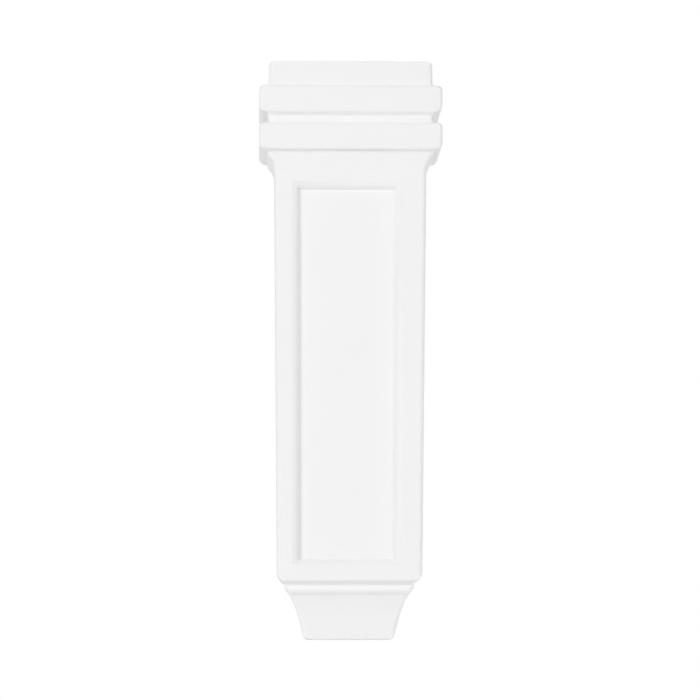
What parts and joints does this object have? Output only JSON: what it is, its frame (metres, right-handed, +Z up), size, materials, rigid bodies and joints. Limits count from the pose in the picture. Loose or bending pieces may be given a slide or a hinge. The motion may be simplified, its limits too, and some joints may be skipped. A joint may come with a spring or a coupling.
{
  "type": "corbel",
  "caption": "Tall narrow wall corbel cast in one piece: banded cap with a groove, leaning body with a long sunk panel, and a small tapering foot. Matt white paint.",
  "frame": {"origin": "middle of the flat back, on the wall plane", "axes": "+Z up, +Y into the wall, so the front faces -Y and +X is to the right as seen from the front"},
  "size_m": [0.1004, 0.072, 0.316],
  "materials": {
    "white_paint": "smooth matt white paint over a cast rigid foam skin"
  },
  "bodies": {
    "root": {"corbel": "white_paint"}
  },
  "joints": []
}
